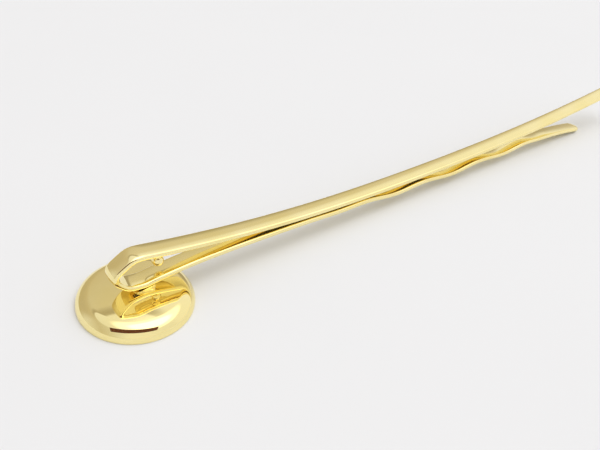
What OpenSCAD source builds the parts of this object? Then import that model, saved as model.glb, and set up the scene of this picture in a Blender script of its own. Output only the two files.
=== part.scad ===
// Spring hairpin with a round cup setting.
// It lies on the open side of the cup, with the pin running along +X.
// The origin is on the resting surface, under the middle of the overall length.

/* [Cup setting] */
// Outer diameter of the cup
cup_d = 8; // [7:0.1:12]
// Height of the cup from its rim to the middle of its back
cup_h = 1.31; // [1.2:0.01:2.5]
// Rise of the slightly domed back from the shoulder to the middle
cup_crown = 0.2; // [0.05:0.01:0.3]
// Outer radius of the rounded shoulder between the wall and the back
cup_shoulder = 1; // [0.6:0.05:1]
// Thickness of the pressed sheet
cup_wall = 0.4; // [0.25:0.05:0.5]

/* [Spring strip] */
// Width of the strip
strip_w = 1.5; // [1.1:0.05:2]
// Thickness of the strip
strip_t = 0.5; // [0.35:0.01:0.6]

/* [Bend] */
// How far the bend reaches behind the middle of the cup
bend_reach = 1.88; // [1.5:0.01:2.4]
// Gap left between the two halves of the strip at the bend
bend_gap = 0.05; // [0.03:0.01:0.1]

/* [Upper leg] */
// Length of the upper leg beyond the middle of the cup
upper_len = 58; // [50:0.5:75]
// Clear height between the two legs over the middle of the cup
leg_spread = 2.08; // [1.8:0.02:3]
// Drop of the upper leg from the bend to its lowest point
upper_drop = 2.14; // [1.8:0.05:2.3]
// Rise of the upper leg from its lowest point to its tip
upper_rise = 1.75; // [1:0.05:3]

/* [Lower leg] */
// Length of the lower leg beyond the middle of the cup
lower_len = 52; // [46:0.5:58]
// Distance along the leg from one crimp to the next
crimp_pitch = 7.4; // [6:0.1:9]
// Height of a crimp above the middle line of the leg
crimp_h = 0.14; // [0.05:0.01:0.2]
// Length of the flared tip
flare_len = 9; // [6:0.5:12]

/* [Solder and bead] */
// Gap between the back of the cup and the lower leg, which the solder fills
solder_gap = 0.09; // [0.06:0.01:0.3]
// How far behind the middle of the cup the solder joint starts
solder_back = 0.3; // [0:0.05:0.5]
// Length of the solder joint along the strip
solder_len = 1.65; // [1.2:0.05:3]
// Width of the solder joint across the strip
solder_w = 1.4; // [0.8:0.05:1.5]
// Diameter of the round bead that hangs under the upper leg
bead_d = 0.84; // [0.5:0.02:1]
// Distance of the bead ahead of the middle of the cup
bead_x = 1.7; // [1:0.05:2.4]
// Distance from the upper leg down to the bead, which the neck spans
bead_drop = 0.26; // [0.1:0.02:0.4]
// Diameter of the bead's neck
neck_d = 0.4; // [0.25:0.05:0.5]
// Depth to which the neck is set into the upper leg
neck_set = 0.15; // [0.05:0.01:0.2]

/* [Hidden] */
$fn = 96;
crown_fn = 720;
bead_fn = 48;
eps = 0.01;
clear = 1;

cup_r = cup_d / 2;
cup_edge_z = cup_h - cup_crown;
shift_x = (cup_r - upper_len) / 2;

// Lower leg: the top face starts over the cup, rises to a crown, falls to a
// plateau with crimps, and flares down to the resting surface at its tip.
leg_start_z = cup_h + solder_gap + strip_t;
crown_x = 5.6;
crown_rise = 0.43;
crown_power = 2.2;
plateau_x = 33;
plateau_z = 1.36;
crimp_from = 14;
crimp_to = 24;
first_crest_x = 20.2;
flare_x = lower_len - flare_len;
flare_power = 1.8;
crimp_fade_from = flare_x - 2;
crimp_fade_to = flare_x + 3;

// Upper leg: the top face falls to its lowest point and rises to the tip.
low_x = 27.2;
upper_start_z = leg_start_z + leg_spread + strip_t;
upper_low_z = upper_start_z - upper_drop;
fall_power = 2.4;
rise_power = 2.1;

step_x = 0.8;
arc_steps = 8;

function ease(a, b, x) =
    x <= a ? 0 : x >= b ? 1 : (1 - cos(180 * (x - a) / (b - a))) / 2;

function crown_z() = leg_start_z + crown_rise;

function lower_base(x) =
    x < crown_x
        ? crown_z() - crown_rise * pow(1 - x / crown_x, crown_power)
        : crown_z() - (crown_z() - plateau_z) * ease(crown_x, plateau_x, x);

function crimp(x) =
    crimp_h * ease(crimp_from, crimp_to, x) * (1 - ease(crimp_fade_from, crimp_fade_to, x))
        * cos(360 * (x - first_crest_x) / crimp_pitch);

function flare(x) =
    x < flare_x ? 0 : (plateau_z - strip_t) * pow((x - flare_x) / flare_len, flare_power);

function lower_mid(x) = lower_base(x) + crimp(x) - flare(x) - strip_t / 2;

function upper_top(x) =
    x < low_x
        ? upper_low_z + upper_drop * pow(1 - x / low_x, fall_power)
        : upper_low_z + upper_rise * pow((x - low_x) / (upper_len - low_x), rise_power);

function upper_mid(x) = upper_top(x) - strip_t / 2;

// Points of an arc of radius r that rounds the corner b between a and c. The radius is
// held down where the arc would start closer to a than the gap left at the bend.
function unit(v) = v / norm(v);
function rounded(a, b, c, r) =
    let (u = unit(a - b), v = unit(c - b))
    let (half = acos(u * v) / 2, reach = min(r / tan(half), norm(a - b) - bend_gap))
    let (centre = b + unit(u + v) * reach / cos(half))
    let (from = b + u * reach - centre, to = b + v * reach - centre)
    let (turn = 180 - 2 * half, side = cross([from.x, from.y, 0], [to.x, to.y, 0]).z)
    [for (i = [0 : arc_steps])
        let (t = (side > 0 ? 1 : -1) * turn * i / arc_steps)
        centre + [from.x * cos(t) - from.y * sin(t), from.x * sin(t) + from.y * cos(t)]];

// Bend: where it runs into the legs, where its four corners sit, and their radii.
// The heights of the two corners at the back are shares of the height between the legs.
leg_in_x = 0.3;
lower_corner_x = -0.75;
lower_corner_lift = 0.27;
lower_corner_r = 0.9;
upper_corner_x = -0.3;
upper_corner_dip = 0.06;
upper_corner_r = 0.5;
back_lean = 0.05;
back_low_share = 0.39;
back_low_r = 0.45;
back_high_share = 0.62;
back_high_r = 0.35;

// Corners of the bend, on the middle line of the strip
bend_x = -bend_reach + strip_t / 2;
lower_in = [leg_in_x, lower_mid(leg_in_x)];
lower_corner = [lower_corner_x, lower_mid(0) + lower_corner_lift];
upper_in = [leg_in_x, upper_mid(leg_in_x)];
upper_corner = [upper_corner_x, upper_mid(0) - upper_corner_dip];
bend_tall = upper_corner.y - lower_corner.y;
back_low = [bend_x + back_lean, lower_corner.y + back_low_share * bend_tall];
back_high = [bend_x, lower_corner.y + back_high_share * bend_tall];
back_mid = (back_low + back_high) / 2;
back_dir = unit(back_high - back_low);

lower_path = concat(
    [back_mid - back_dir * bend_gap / 2],
    rounded(back_mid, back_low, lower_corner, back_low_r),
    rounded(back_low, lower_corner, lower_in, lower_corner_r),
    [for (x = [lower_in.x : step_x : lower_len - step_x / 2]) [x, lower_mid(x)]],
    [[lower_len, lower_mid(lower_len)]]
);

upper_path = concat(
    [back_mid + back_dir * bend_gap / 2],
    rounded(back_mid, back_high, upper_corner, back_high_r),
    rounded(back_high, upper_corner, upper_in, upper_corner_r),
    [for (x = [upper_in.x : step_x * 2 : upper_len - step_x]) [x, upper_mid(x)]],
    [[upper_len, upper_mid(upper_len)]]
);

// Point i of a path moved sideways by d, square to the path there
function beside(path, i, d) =
    let (last = len(path) - 1)
    let (along = unit(path[min(i + 1, last)] - path[max(i - 1, 0)]))
    path[i] + d * [-along.y, along.x];

// A length of strip with a round tip, bent along a path
module strip(path, length) {
    half_t = strip_t / 2;
    last = len(path) - 1;
    tall = upper_start_z + 3 * clear;
    intersection() {
        rotate([90, 0, 0])
            linear_extrude(strip_w, center = true)
                polygon(concat(
                    [for (i = [0 : last]) beside(path, i, half_t)],
                    [for (i = [last : -1 : 0]) beside(path, i, -half_t)]
                ));
        union() {
            translate([-bend_reach - clear, -strip_w / 2, -clear])
                cube([bend_reach + clear + length - strip_w / 2, strip_w, tall]);
            translate([length - strip_w / 2, 0, -clear])
                cylinder(d = strip_w, h = tall);
        }
    }
}

// Half section of a solid cup: outer radius out, height top, shoulder of radius r
module cup_section(out, top, r) {
    square([out - r, top]);
    square([out, top - r]);
    translate([out - r, top - r])
        intersection() {
            circle(r);
            square(r);
        }
}

// Half section of the domed back: an arc that rises by rise from radius out to the middle
module crown_section(out, top, rise) {
    arc_r = (out * out + rise * rise) / (2 * rise);
    intersection() {
        translate([0, top + rise - arc_r])
            circle(arc_r, $fn = crown_fn);
        translate([0, top - eps])
            square([out, rise + 2 * eps]);
    }
}

module cup_solid() {
    rotate_extrude() {
        cup_section(cup_r, cup_edge_z, cup_shoulder);
        crown_section(cup_r - cup_shoulder, cup_edge_z, cup_crown);
    }
}

module cup_setting() {
    color("gold")
        translate([shift_x, 0, 0])
            difference() {
                cup_solid();
                translate([0, 0, -eps])
                    rotate_extrude()
                        cup_section(cup_r - cup_wall, cup_edge_z - cup_wall + eps,
                            cup_shoulder - cup_wall);
            }
}

module solder_joint() {
    color("goldenrod")
        translate([shift_x, 0, 0])
            difference() {
                translate([-solder_back, -solder_w / 2, cup_edge_z])
                    cube([solder_len, solder_w, cup_crown + solder_gap + strip_t / 2]);
                strip(lower_path, lower_len);
                cup_solid();
            }
}

module lower_leg() {
    color("khaki")
        translate([shift_x, 0, 0])
            strip(lower_path, lower_len);
}

module upper_leg() {
    color("palegoldenrod")
        translate([shift_x, 0, 0])
            difference() {
                strip(upper_path, upper_len);
                bead();
            }
}

// A drop that hangs under the upper leg: a round bead on a short neck
module bead() {
    under_z = upper_top(bead_x) - strip_t;
    middle_z = under_z - bead_drop - bead_d / 2;
    translate([bead_x, 0, middle_z])
        sphere(d = bead_d, $fn = bead_fn);
    translate([bead_x, 0, middle_z])
        cylinder(d = neck_d, h = under_z + neck_set - middle_z, $fn = bead_fn);
}

module stop_bead() {
    color("orange")
        translate([shift_x, 0, 0])
            bead();
}

cup_setting();
solder_joint();
lower_leg();
upper_leg();
stop_bead();
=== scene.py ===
"""Looks for a spring hairpin with a round cup setting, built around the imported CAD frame."""

import math

import bmesh
import bpy
import numpy as np
from bpy.props import FloatProperty, FloatVectorProperty, IntProperty, PointerProperty
from mathutils import Matrix, Vector


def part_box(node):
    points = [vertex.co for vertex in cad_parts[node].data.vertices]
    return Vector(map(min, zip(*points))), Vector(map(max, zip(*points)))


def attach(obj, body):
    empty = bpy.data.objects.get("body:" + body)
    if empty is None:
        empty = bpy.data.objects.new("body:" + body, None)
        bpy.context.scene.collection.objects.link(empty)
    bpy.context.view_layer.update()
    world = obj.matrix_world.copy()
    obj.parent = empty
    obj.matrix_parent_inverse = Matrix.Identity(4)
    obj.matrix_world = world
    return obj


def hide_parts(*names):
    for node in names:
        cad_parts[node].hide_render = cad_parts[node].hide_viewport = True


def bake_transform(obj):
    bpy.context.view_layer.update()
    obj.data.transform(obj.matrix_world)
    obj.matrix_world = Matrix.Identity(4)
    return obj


bl_info = {
    "name": "Cup hairpin",
    "version": (1, 0, 0),
    "blender": (4, 5, 0),
    "location": "View3D > Sidebar > Hairpin",
    "description": "Builds a gold-plated spring hairpin with a round cup setting",
    "category": "Add Mesh",
}

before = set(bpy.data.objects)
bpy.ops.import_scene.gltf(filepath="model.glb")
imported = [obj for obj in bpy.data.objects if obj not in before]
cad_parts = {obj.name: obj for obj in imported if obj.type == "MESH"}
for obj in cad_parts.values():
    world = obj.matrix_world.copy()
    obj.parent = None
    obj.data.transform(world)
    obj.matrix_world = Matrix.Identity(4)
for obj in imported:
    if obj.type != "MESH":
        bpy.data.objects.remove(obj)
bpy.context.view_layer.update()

MM = 0.001
BASE_BODY = "cup_and_lower_leg"
UPPER_BODY = "upper_leg_body"

CUP_LOW, CUP_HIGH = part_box("cup_setting")
UPPER_LOW, UPPER_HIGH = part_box("upper_leg")
LOWER_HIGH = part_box("lower_leg")[1]
SOLDER_LOW, SOLDER_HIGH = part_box("solder_joint")
BEAD_LOW, BEAD_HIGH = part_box("stop_bead")

CUP_X = (CUP_LOW.x + CUP_HIGH.x) / 2
CUP_RADIUS = (CUP_HIGH.x - CUP_LOW.x) / 2
CUP_HEIGHT = CUP_HIGH.z
STRIP_WIDTH = UPPER_HIGH.y - UPPER_LOW.y
UPPER_LENGTH = UPPER_HIGH.x - CUP_X
LOWER_LENGTH = LOWER_HIGH.x - CUP_X

# Lower leg, along X from the middle of the cup: a crown, a crimped plateau, a flared tip.
CROWN_X, CROWN_RISE, CROWN_POWER = 5.6 * MM, 0.43 * MM, 2.2
PLATEAU_X, PLATEAU_Z = 33 * MM, 1.36 * MM
CRIMP_FROM, CRIMP_TO, FIRST_CREST_X = 14 * MM, 24 * MM, 20.2 * MM
CRIMP_FADE = (-2 * MM, 3 * MM)
FLARE_POWER = 1.8

# Upper leg: its lowest point, and how steeply it falls to it and rises from it.
LOW_X, FALL_POWER, RISE_POWER = 27.2 * MM, 2.4, 2.1

# Bend: where it runs into the legs, its four corners and their radii. The heights of the
# two corners at the back are shares of the height between the legs.
LEG_IN_X = 0.3 * MM
LOW_CORNER_X, LOW_CORNER_LIFT, LOW_CORNER_R = -0.75 * MM, 0.27 * MM, 0.9 * MM
HIGH_CORNER_X, HIGH_CORNER_DIP, HIGH_CORNER_R = -0.3 * MM, 0.06 * MM, 0.5 * MM
BACK_LEAN = 0.05 * MM
BACK_LOW_SHARE, BACK_LOW_R = 0.39, 0.45 * MM
BACK_HIGH_SHARE, BACK_HIGH_R = 0.62, 0.35 * MM
BEND_ROOM = 0.05 * MM
LEG_STEP = 0.25 * MM
LINE_STEP = 0.04 * MM
SMOOTH_REACH, SMOOTH_ROUNDS = 5, 3
CHORD_ERROR = 0.0002 * MM

# Cup, solder and bead: rounding of the rim, how far the solder reaches into the cup and the
# strip, how square it is, and the neck of the bead.
RIM_EDGE = 0.07 * MM
SOLDER_IN_CUP, SOLDER_IN_STRIP = 0.01 * MM, 0.03 * MM
OBLONG_POWER = 0.5
NECK_SHARE, NECK_TUCK = 0.48, 0.12

# Plating and floor paper.
METALLIC = 0.97
CLOUD_SCALE, CLOUD_SHARE = 40, 0.01

# Studio, as brightness by direction from the pin: ahead, aside (to the right) and up, each
# from -1 to 1. A stop is a place, a shade and a tint. A pair is where a soft step starts and
# where it ends. The far wall goes by aside plus up, and the others go by aside.
WARM, STRAW, WHITE = (1.0, 0.88, 0.69), (1.0, 0.92, 0.8), (1.0, 0.99, 1.0)
FAR_WALL = [(-0.3, 0.53, WARM), (0.0, 0.57, WARM), (0.25, 0.63, STRAW), (0.45, 0.67, STRAW),
            (0.6, 0.70, STRAW), (0.72, 0.86, WHITE), (0.8, 0.93, WHITE)]
NEAR_WALL = [(-1.0, 0.75, WHITE), (-0.7, 0.62, STRAW), (-0.3, 0.74, WHITE),
             (0.0, 0.88, WHITE), (0.5, 0.9, WHITE), (1.0, 0.84, WHITE)]
TOP = [(-0.6, 0.82, WHITE), (0.0, 0.94, WHITE)]
FAR_FROM = (-0.2, 0.2)
HORIZON_SHADE, HORIZON_UP = 0.4, (0.45, 0.27)
HORIZON_LEFT, HORIZON_RIGHT = (-0.6, -0.2), (0.55, 0.2)
TOP_SLOPE, TOP_EDGE = -0.13, (0.845, 0.865)
RIM_SHADE, RIM_LOW, RIM_HIGH = 0.45, (0.8, 0.84), (0.86, 0.85)
RIM_ASIDE, RIM_AHEAD = (0.1, -0.15), (0.0, 0.3)
LAMP_HEIGHT = math.radians(76)
HALO, HALO_POWER = (0.78, 0.86), 0.5
CORE, CORE_POWER = (0.90, 0.96), 0.8
SEEN_COLOUR = (0.87, 0.87, 0.865, 1)

# Key light, floor and the dark card behind the camera.
KEY_HEADING, KEY_HEIGHT = math.radians(70), math.radians(60)
KEY_DISTANCE, KEY_SIZE, KEY_POWER = 0.5, 0.34, 0.24
SQUARE = ((-1, -1), (1, -1), (1, 1), (-1, 1))
FLOOR_HALF = 1.5
CARD_BEHIND = 6 * MM
CARD_HALF_WIDTH, CARD_HALF_HEIGHT, CARD_LIFT = 37 * MM, 12 * MM, 10 * MM
CARD_COLOUR = (0.12, 0.02, 0.002)


# ---------------------------------------------------------------- properties


class HairpinStrip(bpy.types.PropertyGroup):
    """Sizes of the spring strip and its two legs"""

    width: FloatProperty(
        name="Strip width", description="Width of the strip", default=STRIP_WIDTH,
        min=0.5 * MM, unit="LENGTH", subtype="DISTANCE")
    thickness: FloatProperty(
        name="Strip thickness", description="Thickness of the strip", default=0.5 * MM,
        min=0.1 * MM, unit="LENGTH", subtype="DISTANCE")
    face_tilt: FloatProperty(
        name="Face tilt", description="Tilt of the slightly domed faces next to their edges",
        default=math.radians(9), unit="ROTATION", subtype="ANGLE")
    bend_reach: FloatProperty(
        name="Bend reach", description="How far the bend reaches behind the middle of the cup",
        default=1.88 * MM, unit="LENGTH", subtype="DISTANCE")
    solder_gap: FloatProperty(
        name="Solder gap", description="Gap between the cup and the lower leg",
        default=0.09 * MM, unit="LENGTH", subtype="DISTANCE")
    spread: FloatProperty(
        name="Leg spread", description="Rise of the upper leg over the lower leg at the cup",
        default=2.58 * MM, unit="LENGTH", subtype="DISTANCE")
    drop: FloatProperty(
        name="Upper drop", description="Drop of the upper leg to its lowest point",
        default=2.14 * MM, unit="LENGTH", subtype="DISTANCE")
    rise: FloatProperty(
        name="Upper rise", description="Rise of the upper leg from its lowest point to its tip",
        default=1.75 * MM, unit="LENGTH", subtype="DISTANCE")
    crimp_pitch: FloatProperty(
        name="Crimp pitch", description="Distance from one crimp to the next",
        default=7.4 * MM, unit="LENGTH", subtype="DISTANCE")
    crimp_height: FloatProperty(
        name="Crimp height", description="Height of a crimp above the leg's middle line",
        default=0.14 * MM, unit="LENGTH", subtype="DISTANCE")
    flare_length: FloatProperty(
        name="Flare length", description="Length of the flared tip of the lower leg",
        default=9 * MM, unit="LENGTH", subtype="DISTANCE")


class HairpinCup(bpy.types.PropertyGroup):
    """Sizes of the round cup setting"""

    crown: FloatProperty(
        name="Crown", description="Rise of the domed back from the shoulder to the middle",
        default=0.2 * MM, unit="LENGTH", subtype="DISTANCE")
    shoulder: FloatProperty(
        name="Shoulder", description="Outer radius of the rounded shoulder",
        default=1.0 * MM, unit="LENGTH", subtype="DISTANCE")
    wall: FloatProperty(
        name="Wall", description="Thickness of the pressed sheet",
        default=0.4 * MM, unit="LENGTH", subtype="DISTANCE")
    segments: IntProperty(
        name="Segments", description="Number of steps round the cup", default=256, min=32)


class HairpinFinish(bpy.types.PropertyGroup):
    """Colours of the plating"""

    gold: FloatVectorProperty(
        name="Gold", description="Colour of the polished plating", subtype="COLOR",
        default=(1.0, 0.87, 0.44), size=3, min=0, max=1)
    gold_deep: FloatVectorProperty(
        name="Deep gold", description="Colour of the thicker plating in corners",
        subtype="COLOR", default=(0.98, 0.84, 0.38), size=3, min=0, max=1)
    solder: FloatVectorProperty(
        name="Solder", description="Colour of the plated solder", subtype="COLOR",
        default=(1.0, 0.87, 0.46), size=3, min=0, max=1)
    roughness: FloatProperty(
        name="Roughness", description="Roughness of the polish", default=0.04, min=0, max=1)


class HairpinStage(bpy.types.PropertyGroup):
    """The camera, floor and light"""

    turn: FloatProperty(
        name="Camera turn", description="Heading of the view from +Y towards +X",
        default=math.radians(42.0), unit="ROTATION", subtype="ANGLE")
    dip: FloatProperty(
        name="Camera dip", description="How far the camera looks down",
        default=math.radians(36.96), unit="ROTATION", subtype="ANGLE")
    roll: FloatProperty(
        name="Camera roll", description="Roll of the camera about its own axis",
        default=math.radians(7.45), unit="ROTATION", subtype="ANGLE")
    place: FloatVectorProperty(
        name="Camera place", description="Place of the camera from the cup's middle, in cup radii",
        default=(-3.63, -7.927, 8.335), size=3)
    field: FloatProperty(
        name="Field of view", description="Horizontal field of view",
        default=math.radians(47.48), unit="ROTATION", subtype="ANGLE")
    floor: FloatVectorProperty(
        name="Floor", description="Colour of the floor", subtype="COLOR",
        default=(0.76, 0.768, 0.78), size=3, min=0, max=1)


class HairpinSettings(bpy.types.PropertyGroup):
    """All the settings of the hairpin"""

    strip: PointerProperty(type=HairpinStrip)
    cup: PointerProperty(type=HairpinCup)
    finish: PointerProperty(type=HairpinFinish)
    stage: PointerProperty(type=HairpinStage)


# ---------------------------------------------------------------- shapes


def ease(a, b, x):
    """Half a cosine wave that rises from 0 at a to 1 at b."""
    return (1 - np.cos(np.pi * np.clip((x - a) / (b - a), 0, 1))) / 2


def lower_top(x, s):
    """Height of the lower leg's top face at x from the cup's middle.

    A power curve rises to a crown, half a cosine wave falls to a plateau, a cosine wave
    crimps the plateau, and a power curve flares the tip down to the floor."""
    start = CUP_HEIGHT + s.solder_gap + s.thickness
    flare_x = LOWER_LENGTH - s.flare_length
    crown = start + CROWN_RISE
    rising = crown - CROWN_RISE * np.clip(1 - x / CROWN_X, 0, None) ** CROWN_POWER
    falling = (crown - PLATEAU_Z) * ease(CROWN_X, PLATEAU_X, x)
    crimp = s.crimp_height * ease(CRIMP_FROM, CRIMP_TO, x)
    crimp = crimp * (1 - ease(flare_x + CRIMP_FADE[0], flare_x + CRIMP_FADE[1], x))
    crimp = crimp * np.cos(2 * np.pi * (x - FIRST_CREST_X) / s.crimp_pitch)
    past = np.clip((x - flare_x) / s.flare_length, 0, None)
    return rising - falling + crimp - (PLATEAU_Z - s.thickness) * past ** FLARE_POWER


def upper_top(x, s):
    """Height of the upper leg's top face at x: a power curve down to its lowest point and
    another power curve up to its tip."""
    low = CUP_HEIGHT + s.solder_gap + s.thickness + s.spread - s.drop
    fall = s.drop * np.clip(1 - x / LOW_X, 0, None) ** FALL_POWER
    rise = s.rise * np.clip((x - LOW_X) / (UPPER_LENGTH - LOW_X), 0, None) ** RISE_POWER
    return low + fall + rise


def rounded(a, b, c, r, steps=24):
    """Points of the arc of radius r that rounds the corner b between a and c.

    The radius is held down where the arc would start too close to a."""
    u = (a - b) / np.linalg.norm(a - b)
    v = (c - b) / np.linalg.norm(c - b)
    half = math.acos(u @ v) / 2
    reach = min(r / math.tan(half), np.linalg.norm(a - b) - BEND_ROOM)
    centre = b + (u + v) / np.linalg.norm(u + v) * reach / math.cos(half)
    first = b + u * reach - centre
    last = b + v * reach - centre
    turn = math.pi - 2 * half
    sign = 1 if first[0] * last[1] - first[1] * last[0] > 0 else -1
    t = sign * turn * np.linspace(0, 1, steps)
    return centre + np.stack(
        [first[0] * np.cos(t) - first[1] * np.sin(t),
         first[0] * np.sin(t) + first[1] * np.cos(t)], 1)


def strip_path(s):
    """Middle line of the whole strip in the XZ plane, from the lower tip to the upper tip.

    Two leg curves are joined by a loop with four rounded corners. The line is resampled at
    equal steps and smoothed by a running mean, as a bent strip has no sudden curve."""
    half = s.thickness / 2

    def low(x):
        return float(lower_top(np.array(x), s)) - half

    def high(x):
        return float(upper_top(np.array(x), s)) - half

    back = -s.bend_reach + half
    low_in = np.array([LEG_IN_X, low(LEG_IN_X)])
    high_in = np.array([LEG_IN_X, high(LEG_IN_X)])
    low_corner = np.array([LOW_CORNER_X, low(0) + LOW_CORNER_LIFT])
    high_corner = np.array([HIGH_CORNER_X, high(0) - HIGH_CORNER_DIP])
    tall = high_corner[1] - low_corner[1]
    back_low = np.array([back + BACK_LEAN, low_corner[1] + BACK_LOW_SHARE * tall])
    back_high = np.array([back, low_corner[1] + BACK_HIGH_SHARE * tall])
    middle = (back_low + back_high) / 2
    x_low = np.arange(LOWER_LENGTH, LEG_IN_X, -LEG_STEP)
    x_high = np.append(np.arange(LEG_IN_X, UPPER_LENGTH, LEG_STEP), UPPER_LENGTH)
    points = np.concatenate([
        np.stack([x_low, lower_top(x_low, s) - half], 1),
        rounded(low_in, low_corner, back_low, LOW_CORNER_R),
        rounded(low_corner, back_low, middle, BACK_LOW_R),
        rounded(middle, back_high, high_corner, BACK_HIGH_R),
        rounded(back_high, high_corner, high_in, HIGH_CORNER_R),
        np.stack([x_high, upper_top(x_high, s) - half], 1),
    ])
    along = np.append(0, np.cumsum(np.linalg.norm(np.diff(points, axis=0), axis=1)))
    places = np.linspace(0, along[-1], int(along[-1] / LINE_STEP))
    line = np.stack([np.interp(places, along, points[:, i]) for i in (0, 1)], 1)
    window = 2 * SMOOTH_REACH + 1
    for _ in range(SMOOTH_ROUNDS):
        padded = np.pad(line, ((SMOOTH_REACH, SMOOTH_REACH), (0, 0)), mode="reflect",
                        reflect_type="odd")
        total = np.cumsum(np.vstack([np.zeros(2), padded]), axis=0)
        line = (total[window:] - total[:-window]) / window
    return line + np.array([CUP_X, 0])


def thin_out(line, tolerance):
    """Indices of a line's points that leave its shape within tolerance, denser in the bends.

    The step between kept points goes with one over the square root of the curvature."""
    d = np.gradient(line, axis=0)
    length = np.linalg.norm(d, axis=1)
    heading = np.unwrap(np.arctan2(d[:, 1], d[:, 0]))
    curve = np.abs(np.gradient(heading)) / length + 1
    density = np.sqrt(curve / (8 * tolerance)) * length
    count = np.append(0, np.cumsum(density[1:]))
    wanted = np.linspace(0, count[-1], int(count[-1]) + 2)
    return np.unique(np.searchsorted(count, wanted).clip(0, len(line) - 1))


def strip_section(width, thickness, tilt, edge_steps=20, face_steps=12):
    """Section of the strip as (sideways, height) points, once round.

    Both faces are shallow arcs that tilt by tilt at their ends, and two edge arcs of one
    radius join them without a corner. The radius follows from the width and thickness."""
    sag_share = math.tan(tilt / 2)
    core = (width - thickness) / 2 / (1 - sag_share)
    edge_r = thickness / 2 - core * sag_share
    face_r = core / math.sin(tilt) + edge_r
    turn = np.pi / 2 - tilt
    edge = np.linspace(-turn, turn, edge_steps + 1)
    face = np.linspace(tilt, -tilt, face_steps + 1)[1:-1]
    lift = face_r * np.cos(face) - (face_r - edge_r) * math.cos(tilt)
    right = (core + edge_r * np.cos(edge), edge_r * np.sin(edge))
    top = (face_r * np.sin(face), lift)
    side = np.concatenate([right[0], top[0], -right[0], -top[0]])
    height = np.concatenate([right[1], top[1], right[1][::-1], -lift])
    return side, height


def strip_rows(line, s, tips):
    """Grid of points of the strip: one row for each place along the line.

    Each row is the section, carried square to the line. At a tip the plan is half a circle
    as wide as the strip, and the rows fan round its middle, so the edge goes all round."""
    side, height = strip_section(s.width, s.thickness, s.face_tilt)
    d = np.gradient(line, axis=0)
    d = d / np.linalg.norm(d, axis=1)[:, None]
    along = np.append(0, np.cumsum(np.linalg.norm(np.diff(line, axis=0), axis=1)))
    first = s.width / 2 if tips[0] else 0.0
    last = along[-1] - (s.width / 2 if tips[1] else 0.0)
    places = along[(along >= first) & (along <= last)]
    fan = np.linspace(np.pi / 2, 0, 17)[:-1]
    fans = [(places, np.zeros(places.size), 0)]
    if tips[0]:
        fans.insert(0, (np.full(fan.size, first), fan, -1))
    if tips[1]:
        fans.append((np.full(fan.size, last), fan[::-1], 1))
    rows = []
    for place, angle, way in fans:
        sin, cos = np.sin(angle)[:, None], np.cos(angle)[:, None]
        reach = place[:, None] + way * np.abs(side) * sin
        x = np.interp(reach, along, line[:, 0])
        z = np.interp(reach, along, line[:, 1])
        dx = np.interp(reach, along, d[:, 0])
        dz = np.interp(reach, along, d[:, 1])
        rows.append(np.stack([x - dz * height, side * cos + 0 * x, z + dx * height], -1))
    return np.concatenate(rows)


def grid_faces(rows, columns):
    """Quads between neighbouring rows of a grid whose columns run round."""
    i, j = np.meshgrid(np.arange(rows - 1), np.arange(columns), indexing="ij")
    k = (j + 1) % columns
    return np.stack([i * columns + j, i * columns + k,
                     (i + 1) * columns + k, (i + 1) * columns + j], -1).reshape(-1, 4)


def make_piece(name, points, faces, caps, material):
    """A smooth mesh object from points and quads, with flat caps on the rings in caps.

    Doubled points at poles and tips are merged, and faces are turned outwards."""
    mesh = bpy.data.meshes.new(name)
    mesh.from_pydata(points.reshape(-1, 3).tolist(), [], faces.tolist())
    bm = bmesh.new()
    bm.from_mesh(mesh)
    bm.verts.ensure_lookup_table()
    for face in bm.faces:
        face.smooth = True
    for ring in caps:
        cap = bm.faces.new([bm.verts[i] for i in ring])
        for edge in cap.edges:
            edge.smooth = False
    bmesh.ops.remove_doubles(bm, verts=bm.verts, dist=1e-8)
    bmesh.ops.dissolve_degenerate(bm, edges=bm.edges, dist=1e-9)
    bmesh.ops.recalc_face_normals(bm, faces=bm.faces)
    bm.to_mesh(mesh)
    bm.free()
    piece = bpy.data.objects.new(name, mesh)
    bpy.context.scene.collection.objects.link(piece)
    mesh.materials.append(material)
    return piece


def strip_piece(name, rows, material, cap_first, cap_last):
    """One stretch of the strip as a closed mesh. A stretch that ends in the loop's split is
    closed by a flat cap, which lies against its neighbour's."""
    columns = rows.shape[1]
    ring = np.arange(columns)
    caps = []
    if cap_first:
        caps.append(ring.tolist())
    if cap_last:
        caps.append((ring + (rows.shape[0] - 1) * columns).tolist())
    return make_piece(name, rows, grid_faces(rows.shape[0], columns), caps, material)


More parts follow.
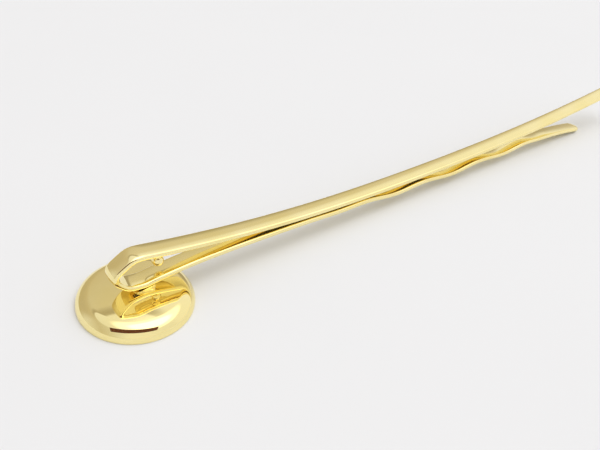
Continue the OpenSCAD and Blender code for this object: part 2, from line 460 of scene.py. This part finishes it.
def cup_profile(c):
    """Half section of the cup from the middle of its back, over the shoulder, round the rim
    and up inside to the middle of its floor, as (radius, height) points.

    The back is an arc, and the shoulder is a quarter of an ellipse less the part that the
    arc already turned, so the two meet without a corner. The inside has a flat floor, and
    the rim has two small rounded edges."""
    edge_top = CUP_HEIGHT - c.crown
    flat_r = CUP_RADIUS - c.shoulder
    arc_r = (flat_r ** 2 + c.crown ** 2) / (2 * c.crown)
    tilt = math.asin(flat_r / arc_r)
    u = np.linspace(0, tilt, 25)[:-1]
    back = np.stack([arc_r * np.sin(u), CUP_HEIGHT - arc_r + arc_r * np.cos(u)], 1)
    t = np.linspace(tilt, np.pi / 2, 41)
    wide = c.shoulder / (1 - math.sin(tilt))
    tall = c.shoulder / math.cos(tilt)
    outer = np.stack([CUP_RADIUS - wide + wide * np.sin(t),
                      edge_top - c.shoulder + tall * np.cos(t)], 1)

    v = np.linspace(0, np.pi / 2, 7)
    inner_r, inner_shoulder = CUP_RADIUS - c.wall, c.shoulder - c.wall
    floor_top = edge_top - c.wall
    round_off, round_on = RIM_EDGE * (1 - np.sin(v)), RIM_EDGE * (1 - np.cos(v))
    rim_out = np.stack([CUP_RADIUS - round_on, round_off], 1)
    rim_in = np.stack([inner_r + round_off, round_on], 1)
    w = np.linspace(np.pi / 2, 0, 17)
    inside = np.stack([inner_r - inner_shoulder + inner_shoulder * np.sin(w),
                       floor_top - inner_shoulder + inner_shoulder * np.cos(w)], 1)
    flat = (inner_r - inner_shoulder) * np.linspace(1, 0, 12)[1:]
    inner_floor = np.stack([flat, np.full(flat.size, floor_top)], 1)
    wall = np.linspace(1, 0, 6)[1:-1, None]
    outer_wall = wall * outer[-1] + (1 - wall) * rim_out[0]
    inner_wall = (1 - wall) * inside[0] + wall * rim_in[-1]
    return np.concatenate(
        [back, outer, outer_wall, rim_out, rim_in, inner_wall, inside, inner_floor])


def turned(profile, segments, centre):
    """Grid of points of a profile turned once about a vertical line through centre."""
    a = np.linspace(0, 2 * np.pi, segments, endpoint=False)
    r, z = profile[:, :1], profile[:, 1:]
    return np.stack([centre[0] + r * np.cos(a), centre[1] + r * np.sin(a), z + 0 * a], -1)


def solder_rows(s):
    """Grid of points of the solder joint, as rings from the cup up to the strip.

    Each ring is a rounded oblong. Its size is least half-way up and grows to both ends as
    the square of the distance, which gives the hollow sides of a wetted joint. Three low
    waves round the ring make it uneven."""
    low, high = SOLDER_LOW, SOLDER_HIGH
    middle = (low + high) / 2
    half_x, half_y = (high.x - low.x) / 2, (high.y - low.y) / 2
    a = np.linspace(0, 2 * np.pi, 96, endpoint=False)
    v = np.linspace(0, 1, 17)[:, None]
    ex = np.sign(np.cos(a)) * np.abs(np.cos(a)) ** OBLONG_POWER
    ey = np.sign(np.sin(a)) * np.abs(np.sin(a)) ** OBLONG_POWER
    waist = 0.95 + 0.05 * (2 * v - 0.9) ** 2
    uneven = 0.02 * np.sin(5 * a + 1.3) + 0.015 * np.sin(9 * a + 4 * v + 0.4)
    uneven = uneven + 0.01 * np.sin(17 * a - 7 * v)
    size = waist * (1 + uneven * np.sin(np.pi * v) ** 0.5)
    x = middle.x + half_x * ex * size
    y = middle.y + half_y * ey * size
    base = low.z - SOLDER_IN_CUP
    lid = lower_top(x - CUP_X, s) - s.thickness + SOLDER_IN_STRIP
    z = base + (lid - base) * v
    return np.stack([x, y + 0 * z, z], -1)


def bead_rows():
    """Grid of points of the bead: a round drop on a short neck, a little uneven.

    The half section goes round the ball from its lowest point to where the neck leaves it,
    then up the neck, which narrows to a waist and widens again as a parabola. Two low waves
    round the drop make it uneven."""
    middle = (BEAD_LOW + BEAD_HIGH) / 2
    r = (BEAD_HIGH.x - BEAD_LOW.x) / 2
    neck_r = NECK_SHARE * r
    ball_z = BEAD_LOW.z + r
    lift = math.acos(neck_r / r) - NECK_TUCK
    round_part = np.linspace(-np.pi / 2, lift, 33)
    foot = ball_z + r * math.sin(lift)
    t = np.linspace(0, 1, 12)[1:]
    waist = neck_r + (r * math.cos(lift) - neck_r) * (1 - 2 * t) ** 2
    radius = np.concatenate([r * np.cos(round_part), waist, [0]])
    height = np.concatenate([ball_z + r * np.sin(round_part),
                             foot + (BEAD_HIGH.z - foot) * t, [BEAD_HIGH.z]])
    a = np.linspace(0, 2 * np.pi, 64, endpoint=False)
    uneven = 1 + 0.012 * np.sin(3 * a + 0.7) + 0.008 * np.sin(5 * a + 2.1)
    wide = radius[:, None] * uneven
    x = middle.x + wide * np.cos(a)
    y = middle.y + wide * np.sin(a)
    return np.stack([x, y, height[:, None] + 0 * x], -1)


# ---------------------------------------------------------------- materials


def plated_gold(name, colour, deep, roughness, wave, scratch):
    """Mirror-polished gold plating; wave and scratch are the strengths of its two bumps.

    Slow noise moves the colour between two golds, finer noise moves the roughness, and long
    fine scratches and a soft unevenness of the polish are bumps. Scratches are also a
    little rougher than the polish round them."""
    mat = bpy.data.materials.new(name)
    mat.use_nodes = True
    nodes, links = mat.node_tree.nodes, mat.node_tree.links
    shader = nodes["Principled BSDF"]
    shader.inputs["Metallic"].default_value = METALLIC
    place = nodes.new("ShaderNodeTexCoord").outputs["Object"]

    def noise(scale, detail, stretch=(1, 1, 1)):
        turn = nodes.new("ShaderNodeMapping")
        turn.inputs["Scale"].default_value = stretch
        links.new(place, turn.inputs["Vector"])
        node = nodes.new("ShaderNodeTexNoise")
        node.inputs["Scale"].default_value = scale
        node.inputs["Detail"].default_value = detail
        links.new(turn.outputs["Vector"], node.inputs["Vector"])
        return node.outputs["Fac"]

    def remap(value, low, high, to_low, to_high):
        node = nodes.new("ShaderNodeMapRange")
        node.inputs["From Min"].default_value = low
        node.inputs["From Max"].default_value = high
        node.inputs["To Min"].default_value = to_low
        node.inputs["To Max"].default_value = to_high
        links.new(value, node.inputs["Value"])
        return node.outputs["Result"]

    mix = nodes.new("ShaderNodeMix")
    mix.data_type = "RGBA"
    mix.inputs["A"].default_value = (*colour, 1)
    mix.inputs["B"].default_value = (*deep, 1)
    depth = remap(noise(350, 3), 0.35, 0.7, 0, 1)
    links.new(depth, mix.inputs["Factor"])
    links.new(mix.outputs["Result"], shader.inputs["Base Color"])

    scratches = remap(noise(2500, 2, (1, 14, 14)), 0.62, 0.8, 0, 1)
    haze = remap(noise(900, 4), 0.3, 0.75, roughness * 0.75, roughness * 1.5)
    rough = nodes.new("ShaderNodeMath")
    rough.operation = "MULTIPLY_ADD"
    rough.inputs[1].default_value = 3 * roughness
    links.new(scratches, rough.inputs[0])
    links.new(haze, rough.inputs[2])
    links.new(rough.outputs["Value"], shader.inputs["Roughness"])

    polish = nodes.new("ShaderNodeBump")
    polish.inputs["Strength"].default_value = wave
    polish.inputs["Distance"].default_value = 0.02 * MM
    links.new(noise(900, 2), polish.inputs["Height"])
    lines = nodes.new("ShaderNodeBump")
    lines.inputs["Strength"].default_value = scratch
    lines.inputs["Distance"].default_value = 0.004 * MM
    links.new(scratches, lines.inputs["Height"])
    links.new(polish.outputs["Normal"], lines.inputs["Normal"])
    links.new(lines.outputs["Normal"], shader.inputs["Normal"])
    return mat


def gold_strip(f):
    """Plating of the drawn strip."""
    return plated_gold("strip_plating", f.gold, f.gold_deep, f.roughness,
                       wave=0.06, scratch=0.02)


def gold_cup(f):
    """Plating of the pressed cup, a little glossier than the strip's."""
    return plated_gold("cup_plating", f.gold, f.gold_deep, f.roughness * 0.8,
                       wave=0.04, scratch=0.02)


def gold_solder(f):
    """Plating of the solder, which is uneven and less glossy."""
    return plated_gold("solder_plating", f.solder, f.gold_deep, f.roughness * 2,
                       wave=0.9, scratch=0.3)


def once(maker, name, f):
    """The material called name, made by maker the first time."""
    return bpy.data.materials.get(name) or maker(f)


# ---------------------------------------------------------------- operators


def settle(piece, body, slot, *nodes):
    """Ties a finished piece to its body and hides the CAD nodes it stands for. The slot is not
    used.
    """
    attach(piece, body)
    if nodes:
        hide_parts(*nodes)


class HAIRPIN_OT_strip(bpy.types.Operator):
    """Make the bent spring strip, as two legs and the loop between them"""

    bl_idname = "hairpin.strip"
    bl_label = "Spring strip"

    def execute(self, context):
        h = context.scene.hairpin
        s = h.strip
        gold = once(gold_strip, "strip_plating", h.finish)
        line = strip_path(s)
        turn_back = int(np.argmin(line[:, 0]))
        split_x = CUP_X + LEG_IN_X
        first = int(np.argmin(np.abs(line[:turn_back, 0] - split_x)))
        last = turn_back + int(np.argmin(np.abs(line[turn_back:, 0] - split_x)))
        low_line, loop_line, high_line = line[:first + 1], line[first:last + 1], line[last:]
        low = strip_rows(low_line[thin_out(low_line, CHORD_ERROR)], s, (True, False))
        loop = strip_rows(loop_line[thin_out(loop_line, CHORD_ERROR)], s, (False, False))
        high = strip_rows(high_line[thin_out(high_line, CHORD_ERROR)], s, (False, True))
        low[-1] = loop[0]
        high[0] = loop[-1]
        lower = strip_piece("lower_leg_strip", low, gold, False, True)
        bend = strip_piece("bend_loop", loop, gold, True, True)
        upper = strip_piece("upper_leg_strip", high, gold, True, False)
        settle(lower, BASE_BODY, "strip_gold", "lower_leg")
        settle(upper, UPPER_BODY, "strip_gold", "upper_leg")
        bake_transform(bend)
        return {"FINISHED"}


class HAIRPIN_OT_cup(bpy.types.Operator):
    """Make the pressed round cup"""

    bl_idname = "hairpin.cup"
    bl_label = "Cup setting"

    def execute(self, context):
        h = context.scene.hairpin
        gold = once(gold_cup, "cup_plating", h.finish)
        points = turned(cup_profile(h.cup), h.cup.segments, (CUP_X, 0))
        faces = grid_faces(points.shape[0], points.shape[1])
        cup = make_piece("round_cup", points, faces, (), gold)
        settle(cup, BASE_BODY, "cup_gold", "cup_setting")
        return {"FINISHED"}


class HAIRPIN_OT_solder(bpy.types.Operator):
    """Make the solder joint and the round bead"""

    bl_idname = "hairpin.solder"
    bl_label = "Solder joint and bead"

    def execute(self, context):
        h = context.scene.hairpin
        gold = once(gold_solder, "solder_plating", h.finish)
        rows = solder_rows(h.strip)
        columns = rows.shape[1]
        ring = np.arange(columns)
        caps = [ring.tolist(), (ring + (rows.shape[0] - 1) * columns).tolist()]
        joint = make_piece("solder_fillet", rows, grid_faces(*rows.shape[:2]), caps, gold)
        settle(joint, BASE_BODY, "solder_gold", "solder_joint")
        rows = bead_rows()
        bead = make_piece("round_bead", rows, grid_faces(*rows.shape[:2]), (), gold)
        settle(bead, UPPER_BODY, "solder_gold", "stop_bead")
        return {"FINISHED"}


def stage_material(name, colour, roughness):
    """Matt material of the floor or of a studio card, with a faint cloudiness."""
    mat = bpy.data.materials.new(name)
    mat.use_nodes = True
    nodes, links = mat.node_tree.nodes, mat.node_tree.links
    shader = nodes["Principled BSDF"]
    cloud = nodes.new("ShaderNodeTexNoise")
    cloud.inputs["Scale"].default_value = CLOUD_SCALE
    links.new(nodes.new("ShaderNodeTexCoord").outputs["Object"], cloud.inputs["Vector"])
    mix = nodes.new("ShaderNodeMix")
    mix.data_type = "RGBA"
    mix.inputs["A"].default_value = (*[c * (1 - CLOUD_SHARE) for c in colour], 1)
    mix.inputs["B"].default_value = (*[c * (1 + CLOUD_SHARE) for c in colour], 1)
    links.new(cloud.outputs["Fac"], mix.inputs["Factor"])
    links.new(mix.outputs["Result"], shader.inputs["Base Color"])
    shader.inputs["Specular IOR Level"].default_value = 0.1
    shader.inputs["Roughness"].default_value = roughness
    return mat


def stage_plane(name, corners, mat):
    """A flat four-cornered piece of the stage."""
    mesh = bpy.data.meshes.new(name)
    mesh.from_pydata(corners, [], [(0, 1, 2, 3)])
    mesh.materials.append(mat)
    plane = bpy.data.objects.new(name, mesh)
    bpy.context.scene.collection.objects.link(plane)
    return plane


def camera_axes(st):
    """Forward, right and up directions of the camera from its turn, dip and roll."""
    turn, dip, roll = st.turn, st.dip, st.roll
    forward = Vector((math.sin(turn) * math.cos(dip), math.cos(turn) * math.cos(dip),
                      -math.sin(dip)))
    level = Vector((math.cos(turn), -math.sin(turn), 0))
    rise = level.cross(forward)
    right = level * math.cos(roll) + rise * math.sin(roll)
    up = rise * math.cos(roll) - level * math.sin(roll)
    return forward, right, up


def level_axes(forward):
    """Level directions ahead and to the right of the view."""
    level = Vector((forward.x, forward.y, 0)).normalized()
    return level, Vector((level.y, -level.x, 0))


def studio_world(level, right_level):
    """A soft tent of light: a straw far wall that brightens to the right and upwards, a pale
    near wall, a bright top with a dark rim, and a round lamp behind the top.

    What the camera sees past the floor is plain and pale."""
    world = bpy.data.worlds.new("studio")
    bpy.context.scene.world = world
    world.use_nodes = True
    nodes, links = world.node_tree.nodes, world.node_tree.links
    nodes.clear()
    out = nodes.new("ShaderNodeOutputWorld")
    way = nodes.new("ShaderNodeTexCoord").outputs["Generated"]
    split = nodes.new("ShaderNodeSeparateXYZ")
    links.new(way, split.inputs["Vector"])

    def along(direction):
        """How far the direction of the light runs along a direction, from -1 to 1."""
        node = nodes.new("ShaderNodeVectorMath")
        node.operation = "DOT_PRODUCT"
        node.inputs[1].default_value = direction
        links.new(way, node.inputs[0])
        return node.outputs["Value"]

    def ramp(source, stops):
        """A colour that follows source from -1 to 1 through stops of (place, shade, tint)."""
        half = nodes.new("ShaderNodeMapRange")
        half.inputs["From Min"].default_value = -1
        links.new(source, half.inputs["Value"])
        node = nodes.new("ShaderNodeValToRGB")
        elements = node.color_ramp.elements
        while len(elements) < len(stops):
            elements.new(0.5)
        for element, (place, shade, tint) in zip(elements, stops):
            element.position = (place + 1) / 2
            element.color = (*[c * shade for c in tint], 1)
        links.new(half.outputs["Result"], node.inputs["Fac"])
        return node.outputs["Color"]

    def one_colour(shade, tint):
        """A shade of a tint."""
        node = nodes.new("ShaderNodeRGB")
        node.outputs["Color"].default_value = (*[c * shade for c in tint], 1)
        return node.outputs["Color"]

    def blend_colours(factor, first, second):
        """The first colour where factor is 0, and the second where it is 1."""
        node = nodes.new("ShaderNodeMix")
        node.data_type = "RGBA"
        links.new(factor, node.inputs["Factor"])
        links.new(first, node.inputs["A"])
        links.new(second, node.inputs["B"])
        return node.outputs["Result"]

    def steps(source, low, high):
        """A soft step from 0 where source is low to 1 where it is high."""
        node = nodes.new("ShaderNodeMapRange")
        node.interpolation_type = "SMOOTHSTEP"
        node.inputs["From Min"].default_value = low
        node.inputs["From Max"].default_value = high
        links.new(source, node.inputs["Value"])
        return node.outputs["Result"]

    def maths(operation, *values):
        """The result of one sum or product."""
        node = nodes.new("ShaderNodeMath")
        node.operation = operation
        for socket, value in zip(node.inputs, values):
            if isinstance(value, float):
                socket.default_value = value
            else:
                links.new(value, socket)
        return node.outputs["Value"]

    ahead, aside, height = along(level), along(right_level), split.outputs["Z"]
    far_wall = ramp(maths("ADD", aside, height), FAR_WALL)
    horizon = maths("MULTIPLY", steps(height, *HORIZON_UP), steps(aside, *HORIZON_LEFT))
    horizon = maths("MULTIPLY", horizon, steps(aside, *HORIZON_RIGHT))
    far_wall = blend_colours(horizon, far_wall, one_colour(HORIZON_SHADE, WARM))
    wall = blend_colours(steps(ahead, *FAR_FROM), ramp(aside, NEAR_WALL), far_wall)

    edge = maths("MULTIPLY_ADD", aside, TOP_SLOPE, height)
    tent_colour = blend_colours(steps(edge, *TOP_EDGE), wall, ramp(aside, TOP))
    rim = maths("MULTIPLY", steps(edge, *RIM_LOW), steps(edge, *RIM_HIGH))
    rim = maths("MULTIPLY", rim, steps(aside, *RIM_ASIDE))
    rim = maths("MULTIPLY", rim, steps(ahead, *RIM_AHEAD))
    tent_colour = blend_colours(rim, tent_colour, one_colour(RIM_SHADE, WARM))

    lamp = right_level * math.cos(LAMP_HEIGHT) + Vector((0, 0, math.sin(LAMP_HEIGHT)))
    near_lamp = along(lamp)
    glow = maths("MULTIPLY", steps(near_lamp, *HALO), HALO_POWER)
    glow = maths("MULTIPLY_ADD", steps(near_lamp, *CORE), CORE_POWER, glow)
    lit = nodes.new("ShaderNodeVectorMath")
    links.new(tent_colour, lit.inputs[0])
    links.new(glow, lit.inputs[1])

    tent = nodes.new("ShaderNodeBackground")
    links.new(lit.outputs["Vector"], tent.inputs["Color"])
    plain = nodes.new("ShaderNodeBackground")
    plain.inputs["Color"].default_value = SEEN_COLOUR
    seen = nodes.new("ShaderNodeLightPath").outputs["Is Camera Ray"]
    choose = nodes.new("ShaderNodeMixShader")
    links.new(seen, choose.inputs["Fac"])
    links.new(tent.outputs["Background"], choose.inputs[1])
    links.new(plain.outputs["Background"], choose.inputs[2])
    links.new(choose.outputs["Shader"], out.inputs["Surface"])


def soft_light(name, middle, level, right_level, heading, height, distance, size, power):
    """A round softbox at a heading from the view's far side and a height over the floor."""
    light = bpy.data.lights.new(name, "AREA")
    light.shape = "DISK"
    light.size = size
    light.energy = power
    box = bpy.data.objects.new(name, light)
    bpy.context.scene.collection.objects.link(box)
    away = level * math.cos(heading) + right_level * math.sin(heading)
    away = away * math.cos(height) + Vector((0, 0, math.sin(height)))
    box.matrix_world = Matrix.Translation(middle + away * distance) @ (
        away.to_track_quat("Z", "Y").to_matrix().to_4x4())
    return box


class HAIRPIN_OT_stage(bpy.types.Operator):
    """Make the floor, the soft light and the camera"""

    bl_idname = "hairpin.stage"
    bl_label = "Stage"

    def execute(self, context):
        scene = context.scene
        st = scene.hairpin.stage
        middle = Vector((CUP_X, 0, 0))
        paper = stage_material("floor_paper", st.floor, 0.9)
        stage_plane("floor", [(FLOOR_HALF * a, FLOOR_HALF * b, 0) for a, b in SQUARE], paper)

        forward, right, up = camera_axes(st)
        place = middle + Vector(st.place) * CUP_RADIUS
        data = bpy.data.cameras.new("camera")
        data.sensor_width = 36
        data.lens = data.sensor_width / 2 / math.tan(st.field / 2)
        data.clip_start, data.clip_end = 1 * MM, 10
        camera = bpy.data.objects.new("camera", data)
        scene.collection.objects.link(camera)
        axes = Matrix((right, up, -forward)).transposed()
        camera.matrix_world = Matrix.Translation(place) @ axes.to_4x4()
        scene.camera = camera

        card_place = place - forward * CARD_BEHIND + up * CARD_LIFT
        corners = [card_place + right * (CARD_HALF_WIDTH * a) + up * (CARD_HALF_HEIGHT * b)
                   for a, b in SQUARE]
        dark = stage_material("camera_black", CARD_COLOUR, 0.6)
        card = stage_plane("camera_card", [tuple(c) for c in corners], dark)
        card.visible_camera = False
        card.visible_diffuse = False
        card.visible_shadow = False

        level, right_level = level_axes(forward)
        studio_world(level, right_level)
        key = soft_light("side_softbox", middle, level, right_level, KEY_HEADING, KEY_HEIGHT,
                         KEY_DISTANCE, KEY_SIZE, KEY_POWER)
        key.visible_glossy = False
        scene.view_settings.view_transform = "Standard"
        return {"FINISHED"}


class HAIRPIN_PT_panel(bpy.types.Panel):
    """Sidebar panel of the hairpin"""

    bl_idname = "HAIRPIN_PT_panel"
    bl_label = "Hairpin"
    bl_space_type = "VIEW_3D"
    bl_region_type = "UI"
    bl_category = "Hairpin"

    def draw(self, context):
        for operator in OPERATORS:
            self.layout.operator(operator.bl_idname)


OPERATORS = (HAIRPIN_OT_cup, HAIRPIN_OT_strip, HAIRPIN_OT_solder, HAIRPIN_OT_stage)
CLASSES = (HairpinStrip, HairpinCup, HairpinFinish, HairpinStage, HairpinSettings,
           *OPERATORS, HAIRPIN_PT_panel)


def register():
    for cls in CLASSES:
        bpy.utils.register_class(cls)
    bpy.types.Scene.hairpin = PointerProperty(type=HairpinSettings)


def unregister():
    del bpy.types.Scene.hairpin
    for cls in reversed(CLASSES):
        bpy.utils.unregister_class(cls)


def main():
    register()
    bpy.ops.hairpin.cup()
    bpy.ops.hairpin.strip()
    bpy.ops.hairpin.solder()
    bpy.ops.hairpin.stage()


if __name__ == "__main__":
    main()
